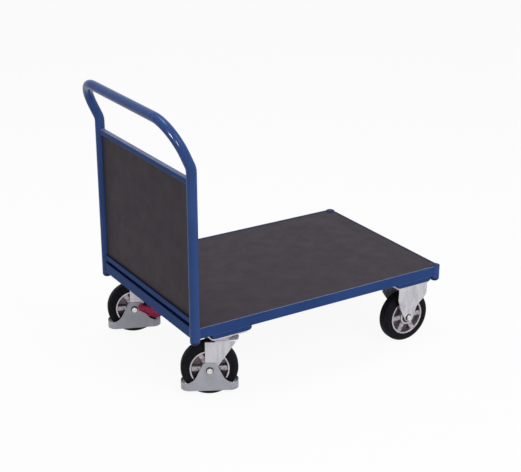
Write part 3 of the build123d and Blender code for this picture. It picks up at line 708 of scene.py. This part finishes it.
def make_rim(name, body, node, place):
    """Cast rim: hub, six drafted spokes on a web, a turned ring and turned hub faces."""
    shell = Shell()
    loops = rim_face(1) + list(reversed(rim_face(-1)))
    shell.skin(loops, closed=True)
    count = len(loops[0])
    rings = len(RIM_RINGS)
    turned = []
    for row in range(len(loops)):
        ring = min(row, 2 * rings - 2 - row) if row < 2 * rings - 1 else 0
        bright = ring < TURNED_HUB_RINGS or ring >= rings - TURNED_LIP_RINGS
        turned += [1 if bright else 0] * count
    materials = (CAST, MACHINED)
    made = piece(name, shell.verts, shell.faces, materials, body, place, turned)
    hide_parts(node)


def make_tyre(name, body, node, place):
    """Tyre turned from its section."""
    shell = Shell()
    shell.turned(tyre_section(), TYRE_STEPS)
    made = piece(name, shell.verts, shell.faces, (RUBBER,), body, place)
    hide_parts(node)


def thread_section(start, end, radius, pitch=1.75, depth=0.9):
    """Section of a threaded length, as rings."""
    points = []
    count = max(2, round(abs(end - start) / pitch))
    for index in range(count):
        at = start + (end - start) * index / count
        half = start + (end - start) * (index + 0.5) / count
        points += [(radius, at), (radius - depth, half)]
    return points + [(radius, end)]


def keep_fastener(name, shell, washer_faces, body, node, place):
    """A fastener whose first faces are its black washer."""
    zones = [1] * washer_faces + [0] * (len(shell.faces) - washer_faces)
    materials = (FASTENER, BLACK_WASHER)
    made = piece(name, shell.verts, shell.faces, materials, body, place, zones)
    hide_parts(node)


def make_axle_bolt(name, body, node, place, seat):
    """Axle bolt on the -Y side: washer, forged hexagon head, shank and threaded end."""
    shell = Shell()
    shell.turned(washer_section(AXLE_R, WASHER_R, -seat, -1), WASHER_STEPS)
    washer_faces = len(shell.faces)
    hexagon_head(shell, -seat - WASHER, AXLE_HEAD, AXLE_FLATS, -1)
    tip = seat + WASHER + AXLE_NUT + AXLE_END
    section = [(AXLE_R, -seat - WASHER)]
    section += thread_section(seat, tip - AXLE_CHAMFER, AXLE_R)
    section += [(AXLE_R - AXLE_CHAMFER, tip)]
    rows = shell.turned(section, AXLE_STEPS, closed=False)
    shell.lid(rows[0])
    shell.lid(rows[-1])
    keep_fastener(name, shell, washer_faces, body, node, place)


def make_axle_nut(name, body, node, place, seat):
    """Axle nut on the +Y side, on its washer."""
    shell = Shell()
    shell.turned(washer_section(AXLE_R, WASHER_R, seat, 1), WASHER_STEPS)
    washer_faces = len(shell.faces)
    hexagon_head(shell, seat + WASHER, AXLE_NUT, AXLE_FLATS, 1, bore=AXLE_R)
    keep_fastener(name, shell, washer_faces, body, node, place)


def joint(name):
    """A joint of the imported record."""
    return next(row for row in frame["joints"] if row["name"] == name)


def wheel_place(name):
    """Where a wheel sits: its own Y along the axle, as the part has it."""
    row = joint(f"{name}_wheel_spin")
    axle = Vector(row["axis"])
    turn = math.atan2(-axle.x, axle.y)
    return Matrix.Translation(row["pos_m"]) @ Matrix.Rotation(turn, 4, "Z")


for caster in CASTERS:
    fixed = caster.startswith("fixed")
    wheel_body = f"{caster}_wheel"
    frame_body = "chassis" if fixed else caster
    seat = FIXED_SEAT if fixed else SWIVEL_SEAT
    place = wheel_place(caster)
    make_tyre(f"{caster}_ribbed_tyre", wheel_body, f"{caster}_tyre", place)
    make_rim(f"{caster}_cast_rim", wheel_body, f"{caster}_rim", place)
    make_axle_bolt(f"{caster}_hex_axle", frame_body, f"{caster}_axle_bolt", place, seat)
    make_axle_nut(f"{caster}_hex_nut", frame_body, f"{caster}_axle_nut", place, seat)


# Brake pedal

# Across and up from the axle, and radius
PEDAL_DISCS = ((26.0, 8.0, 12.0), (78.0, -15.0, 19.0), (104.5, -20.0, 7.0))
# How far the outline is drawn in, and the distance from the wheel's middle
PEDAL_LOOPS = (
    (3.0, PEDAL_BACK),
    (1.0, PEDAL_BACK),
    (0.3, PEDAL_BACK + 0.4),
    (0.0, PEDAL_BACK + 1.2),
    (0.0, PEDAL_FRONT - 2.4),
    (0.3, PEDAL_FRONT - 1.2),
    (0.9, PEDAL_FRONT - 0.4),
    (1.8, PEDAL_FRONT),
    (3.0, PEDAL_FRONT),
    (3.6, PEDAL_FRONT - 0.3),
    (4.0, PEDAL_FRONT - 1.0),
    (4.5, PEDAL_FRONT - 3.4),
    (5.4, PEDAL_TRAY),
    (6.4, PEDAL_TRAY),
)
# Radius of the boss round the pin, and the distance from the wheel's middle
PEDAL_BOSS = (
    (8.6, PEDAL_TRAY - 0.5),
    (8.6, PEDAL_FRONT - 0.9),
    (8.0, PEDAL_FRONT - 0.3),
    (4.4, PEDAL_FRONT - 0.3),
    (4.2, PEDAL_TRAY - 0.5),
)
# Inset and height above the tray of the oval rib, and of the ridges inside it
PEDAL_RIB = ((0.0, -0.5), (0.0, 1.9), (0.5, 2.5), (1.6, 2.5), (2.1, 1.9), (2.3, -0.5))
PEDAL_RIDGE = ((0.0, -0.5), (0.0, 1.2), (0.4, 1.8))
RIB_HALF_LENGTH = 12.5
RIB_HALF_WIDTH = 8.5
RIDGE_HALF_WIDTH = 1.2
# Distance of each ridge from the rib's middle, and its half length
RIDGES = ((-4.0, 5.2), (0.0, 5.8), (4.0, 5.2))


def pedal_outline(inset, along, steps=120):
    """The hull of the pedal's three discs, drawn in by inset."""
    points = []
    for index in range(steps):
        angle = math.tau * index / steps
        out = (math.cos(angle), math.sin(angle))
        disc = max(PEDAL_DISCS, key=lambda d: d[0] * out[0] + d[1] * out[1] + d[2])
        reach = disc[2] - inset
        points.append((disc[0] + reach * out[0], -along, disc[1] + reach * out[1]))
    return points


def oval(centre, half_x, half_z, tilt, along, steps=48):
    """An oval loop in the pedal's plane."""
    points = []
    for index in range(steps):
        angle = math.tau * index / steps
        x, z = half_x * math.cos(angle), half_z * math.sin(angle)
        points.append((
            centre[0] + x * math.cos(tilt) - z * math.sin(tilt),
            -along,
            centre[1] + x * math.sin(tilt) + z * math.cos(tilt),
        ))
    return points


def make_pedal():
    """Moulded pedal: raised rim round a tray, a boss at the pin, an oval rib with ridges."""
    shell = Shell()
    rows = shell.skin([pedal_outline(inset, along) for inset, along in PEDAL_LOOPS])
    shell.lid(rows[0])
    shell.lid(rows[-1])
    pivot, tip = PEDAL_DISCS[0], PEDAL_DISCS[1]
    tilt = math.atan2(tip[1] - pivot[1], tip[0] - pivot[0])
    boss = [oval(pivot, radius, radius, 0.0, along) for radius, along in PEDAL_BOSS]
    shell.skin(boss, closed=True)
    rib = [
        oval(tip, RIB_HALF_LENGTH - inset, RIB_HALF_WIDTH - inset, tilt, PEDAL_TRAY + rise)
        for inset, rise in PEDAL_RIB
    ]
    shell.skin(rib, closed=True)
    for offset, reach in RIDGES:
        middle = (tip[0] + offset * math.cos(tilt), tip[1] + offset * math.sin(tilt))
        ridge = [
            oval(middle, RIDGE_HALF_WIDTH - inset, reach - inset, tilt, PEDAL_TRAY + rise, steps=24)
            for inset, rise in PEDAL_RIDGE
        ]
        ridge_rows = shell.skin(ridge)
        shell.lid(ridge_rows[0])
        shell.lid(ridge_rows[-1])
    place = wheel_place("swivel_left")
    made = piece(
        "moulded_brake_pedal", shell.verts, shell.faces, (PEDAL,), "brake", place
    )
    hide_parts("brake_pedal")


make_pedal()


# Panel screws and weld beads

SCREW_COLUMNS = 5
SCREW_STEPS = 32
SCREW_SHANK_R = 2.25
SCREW_HEAD_R = 4.5
SCREW_HEAD = 2.4
# Radius of the head, and height over its seat
SCREW_HEAD_PROFILE = (
    (SCREW_HEAD_R - 0.2, 0.0),
    (SCREW_HEAD_R, 0.3),
    (SCREW_HEAD_R - 0.2, 1.1),
    (SCREW_HEAD_R - 0.9, 1.9),
    (2.6, SCREW_HEAD),
)
# Size of the cross recess, and height over the seat
SCREW_RECESS_PROFILE = ((1.0, SCREW_HEAD), (0.75, 0.9))
RECESS_ARM = 2.2
RECESS_CORE = 0.8
RECESS_ARM_ANGLE = 0.3


def cross_recess(angle):
    """Radius of a cross recess."""
    quarter = math.pi / 2
    from_arm = min(angle % quarter, -angle % quarter)
    return RECESS_ARM if from_arm < RECESS_ARM_ANGLE else RECESS_CORE


def make_panel_screws():
    """Pan head screws with a cross recess, on the deck side of the end panel."""
    low, high = (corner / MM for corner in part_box("panel_screws"))
    seat = high.x - SCREW_HEAD
    pitch = (high.y - low.y - 2 * SCREW_HEAD_R) / (SCREW_COLUMNS - 1)
    angles = [math.tau * i / SCREW_STEPS for i in range(SCREW_STEPS)]
    rings = [(low.x, [SCREW_SHANK_R] * SCREW_STEPS), (seat, [SCREW_SHANK_R] * SCREW_STEPS)]
    rings += [(seat + rise, [radius] * SCREW_STEPS) for radius, rise in SCREW_HEAD_PROFILE]
    for share, rise in SCREW_RECESS_PROFILE:
        rings.append((seat + rise, [cross_recess(a) * share for a in angles]))
    shell = Shell()
    for column in range(SCREW_COLUMNS):
        y = low.y + SCREW_HEAD_R + pitch * column
        for z in (low.z + SCREW_HEAD_R, high.z - SCREW_HEAD_R):
            rows = shell.skin([
                [(x, y + r * math.cos(a), z + r * math.sin(a)) for r, a in zip(radii, angles)]
                for x, radii in rings
            ])
            shell.lid(rows[0])
            shell.lid(rows[-1])
    made = piece(
        "cross_head_screws", shell.verts, shell.faces, (FASTENER,), "chassis"
    )
    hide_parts("panel_screws")


FRAME_BEAD = 2.1
PANEL_BEAD = 1.5
BEAD_SIDES = 10
RIPPLE_PITCH = 2.6
RIPPLE_STEPS = 6
# Shares of a bead's radius
RIPPLE_SHARE = 0.14
BEAD_END_SHARE = 0.35
BEAD_END_SLOPE = 0.5
WANDER_SHARE = 0.12
# How fast a bead wanders along its ripples, and how its start differs from the next bead's
WANDER_RATE = 7.3 / 3
WANDER_SHIFT = 2.1


def weld_bead(shell, start, end, radius):
    """A rippled bead from start to end."""
    start, end = Vector(start), Vector(end)
    along = (end - start).normalized()
    side = along.orthogonal().normalized()
    other = along.cross(side)
    length = (end - start).length
    ripples = max(4, round(length / RIPPLE_PITCH))
    steps = ripples * RIPPLE_STEPS
    angles = [math.tau * i / BEAD_SIDES for i in range(BEAD_SIDES)]
    loops = []
    for step in range(steps + 1):
        share = step / steps
        phase = share * ripples % 1.0
        ripple = 1 - math.sqrt(abs(math.sin(math.pi * phase)))
        swell = radius * (1 - RIPPLE_SHARE * ripple)
        from_end = min(share, 1 - share) * length
        taper = min(1.0, BEAD_END_SHARE + BEAD_END_SLOPE * from_end / radius)
        swing = math.sin(WANDER_RATE * share * ripples + start.x + WANDER_SHIFT * start.y)
        middle = start + along * length * share + side * WANDER_SHARE * radius * swing
        loops.append([
            middle + swell * taper * (side * math.cos(a) + other * math.sin(a))
            for a in angles
        ])
    rows = shell.skin(loops)
    shell.lid(rows[0])
    shell.lid(rows[-1])


def make_welds():
    """Painted weld beads where the rails meet the corner tubes."""
    frame_inset, frame_gap, frame_proud = 2.0, 0.6, 0.2
    panel_inset, panel_gap, panel_sunk = 1.5, 0.4, 0.1
    shell = Shell()
    reach = math.sqrt(TUBE_R**2 - RAIL_OUTSET**2)
    for sx in (-1, 1):
        for sy in (-1, 1):
            x, y = sx * POST_X, sy * POST_Y
            beside = (x - sx * (reach + frame_gap), y + sy * (RAIL_OUTSET + frame_proud))
            across = (x + sx * (RAIL_OUTSET + frame_proud), y - sy * (reach + frame_gap))
            for at in (beside, across):
                start, end = (*at, RAIL_BOTTOM + frame_inset), (*at, RAIL_TOP - frame_inset)
                weld_bead(shell, start, end, FRAME_BEAD)
    for node in ("panel_top_rail", "panel_bottom_rail"):
        low, high = (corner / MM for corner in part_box(node))
        outset = -POST_X - low.x
        reach_y = math.sqrt(TUBE_R**2 - outset**2)
        foot = high.z - PANEL_RAIL_FACE
        for sy in (-1, 1):
            at = (low.x + panel_sunk, sy * (POST_Y - reach_y - panel_gap))
            start, end = (*at, foot + panel_inset), (*at, high.z - panel_inset)
            weld_bead(shell, start, end, PANEL_BEAD)
    piece("weld_beads", shell.verts, shell.faces, (TUBE_PAINT_LIT,), "chassis")


make_panel_screws()
make_welds()


# The solids that stay

SEAM = 0.01 * MM
FLAT_ANGLE = math.radians(1.0)
# Less than the slope of the panels pressed in the forks, in degrees
FORK_FOLD = 20


def dress(names, material, width=0.0, angle=35):
    """Give solids a material, and break edges sharper than angle by a width in millimetres."""
    for name in names:
        solid = frame["nodes"][name]
        solid.data.materials.clear()
        solid.data.materials.append(material)
        if not width:
            continue
        weld = solid.modifiers.new("merge", "WELD")
        weld.merge_threshold = SEAM
        flat = solid.modifiers.new("flats", "DECIMATE")
        flat.decimate_type = "DISSOLVE"
        flat.angle_limit = FLAT_ANGLE
        edge = solid.modifiers.new("broken_edges", "BEVEL")
        edge.width = width * MM
        edge.segments = 2
        edge.limit_method = "ANGLE"
        edge.angle_limit = math.radians(angle)
        edge.harden_normals = True
        edge.use_clamp_overlap = True


dress([f"side_rail_{s}" for s in SIDES] + ["end_rail_front"], RAIL_PAINT, 0.9)
dress(["end_rail_rear"], REAR_PAINT_SHADED, 0.9)
dress([f"caster_pan_{e}" for e in ENDS], REAR_PAINT_SHADED, 0.8)
dress(["handle_tube", "front_corner_tubes"], TUBE_PAINT_LIT)
dress(["panel_top_rail", "panel_side_strips"], RAIL_PAINT, 0.5)
dress(["panel_bottom_rail"], REAR_PAINT_SHADED, 0.5)
dress(["deck_bearers"], TUBE_PAINT_LIT, 0.5)
dress(["deck_board"], DECK_BOARD, 0.8)
dress(["end_panel"], PANEL_BOARD, 0.8)
dress(["corner_tube_caps", "tube_foot_plugs"], PLUG)
dress([f"fixed_{s}_fork" for s in SIDES], ZINC, 0.6, FORK_FOLD)
dress([f"swivel_{s}_fork" for s in SIDES], ZINC, 0.6, FORK_FOLD)
dress([f"swivel_{s}_top_plate" for s in SIDES], ZINC, 0.6)
for part in ("bearing_cup", "king_pin"):
    dress([f"swivel_{s}_{part}" for s in SIDES], CUP_ZINC)
dress([f"swivel_{s}_foot_guard" for s in SIDES], GUARD, 0.7)
dress(["caster_bolts", "caster_nuts", "deck_screws"], FASTENER, 0.5)
dress(["brake_pedal_pin"], PEDAL, 0.5)
dress(["brake_bar"], FASTENER, 0.5)
for caster in CASTERS:
    dress([f"{caster}_bearings", f"{caster}_axle_sleeve"], BEARING, 0.3)


# Floor, world, lights and camera

FLOOR_HALF = 14.0
FLOOR_GREY = (0.86, 0.86, 0.86, 1)
FLOOR_WHITE_SHARE = 0.93
WHITE = (1, 1, 1, 1)
AMBIENT = 0.38
MIDDLE = (0.0, 0.0, 0.4)
HANDLE_BEND = (-0.55, -0.30, 0.95)
# Name, place, size in metres and power in watts
LAMPS = (
    ("key", (0.6, -3.6, 3.4), 2.2, 82),
    ("top", (-0.6, 0.4, 4.4), 2.4, 64),
    ("side", (-3.4, -1.8, 1.8), 1.2, 9),
)
GLINTS = (
    ("glint_top", (-0.9, 0.1, 4.2), 1.0, 60),
    ("glint_side", (-3.3, -1.5, 1.38), 0.7, 340),
    ("glint_low", (-2.6, -2.9, 1.0), 0.5, 170),
)


def seen_directly(tree):
    """1 for the camera's rays and for those of reflections and glass, 0 for the rest."""
    path = tree.nodes.new("ShaderNodeLightPath")
    seen = path.outputs["Is Camera Ray"]
    for other in ("Is Glossy Ray", "Is Transmission Ray"):
        either = tree.nodes.new("ShaderNodeMath")
        either.operation = "MAXIMUM"
        tree.links.new(seen, either.inputs[0])
        tree.links.new(path.outputs[other], either.inputs[1])
        seen = either.outputs[0]
    return seen


def make_floor():
    """A pale floor, nearly white to the camera and in reflections, that keeps a soft shadow."""
    corners = ((-1, -1), (1, -1), (1, 1), (-1, 1))
    mesh = bpy.data.meshes.new("floor")
    mesh.from_pydata([(x * FLOOR_HALF, y * FLOOR_HALF, 0) for x, y in corners], [], [(0, 1, 2, 3)])
    floor = bpy.data.objects.new("floor", mesh)
    bpy.context.scene.collection.objects.link(floor)
    material = bpy.data.materials.new("pale_floor")
    material.use_nodes = True
    tree = material.node_tree
    tree.nodes.remove(tree.nodes["Principled BSDF"])
    matt = tree.nodes.new("ShaderNodeBsdfDiffuse")
    matt.inputs["Color"].default_value = FLOOR_GREY
    glow = tree.nodes.new("ShaderNodeEmission")
    glow.inputs["Color"].default_value = WHITE
    amount = tree.nodes.new("ShaderNodeMath")
    amount.operation = "MULTIPLY"
    amount.inputs[1].default_value = FLOOR_WHITE_SHARE
    blend = tree.nodes.new("ShaderNodeMixShader")
    tree.links.new(seen_directly(tree), amount.inputs[0])
    tree.links.new(amount.outputs[0], blend.inputs["Fac"])
    tree.links.new(matt.outputs[0], blend.inputs[1])
    tree.links.new(glow.outputs[0], blend.inputs[2])
    tree.links.new(blend.outputs[0], tree.nodes["Material Output"].inputs["Surface"])
    mesh.materials.append(material)


def make_world():
    """White to the camera and in reflections, a soft ambient light otherwise."""
    world = bpy.data.worlds.new("studio")
    bpy.context.scene.world = world
    world.use_nodes = True
    tree = world.node_tree
    sky = tree.nodes["Background"]
    sky.inputs["Color"].default_value = WHITE
    strength = tree.nodes.new("ShaderNodeMapRange")
    strength.inputs["To Min"].default_value = AMBIENT
    strength.inputs["To Max"].default_value = 1.0
    tree.links.new(seen_directly(tree), strength.inputs["Value"])
    tree.links.new(strength.outputs[0], sky.inputs["Strength"])


def make_light(name, place, target, size, power):
    """A soft square lamp aimed at a point."""
    lamp = bpy.data.lights.new(name, "AREA")
    lamp.shape = "SQUARE"
    lamp.size = size
    lamp.energy = power
    holder = bpy.data.objects.new(name, lamp)
    holder.location = place
    holder.rotation_mode = "QUATERNION"
    holder.rotation_quaternion = (Vector(target) - Vector(place)).to_track_quat("-Z", "Y")
    bpy.context.scene.collection.objects.link(holder)
    return holder


def make_glints():
    """Small lamps that show only as highlights on the handle."""
    tubes = bpy.data.collections.new("glossy_tubes")
    tubes.objects.link(frame["nodes"]["handle_tube"])
    for name, place, size, power in GLINTS:
        glint = make_light(name, place, HANDLE_BEND, size, power)
        glint.visible_diffuse = False
        glint.light_linking.receiver_collection = tubes


def make_camera():
    """The camera of the photograph."""
    lens = bpy.data.cameras.new("photo_camera")
    lens.lens = CAMERA_LENS
    lens.sensor_width = CAMERA_SENSOR
    lens.clip_end = CAMERA_REACH
    camera = bpy.data.objects.new("photo_camera", lens)
    camera.location = CAMERA_PLACE
    azimuth, elevation = math.radians(CAMERA_AZIMUTH), math.radians(CAMERA_ELEVATION)
    back = Vector((
        math.sin(azimuth) * math.cos(elevation),
        -math.cos(azimuth) * math.cos(elevation),
        math.sin(elevation),
    ))
    camera.rotation_mode = "QUATERNION"
    camera.rotation_quaternion = (-back).to_track_quat("-Z", "Y")
    bpy.context.scene.collection.objects.link(camera)
    bpy.context.scene.camera = camera


make_floor()
make_world()
for lamp_name, lamp_place, lamp_size, lamp_power in LAMPS:
    make_light(lamp_name, lamp_place, MIDDLE, lamp_size, lamp_power)
make_glints()
make_camera()
bpy.context.scene.view_settings.view_transform = "Standard"
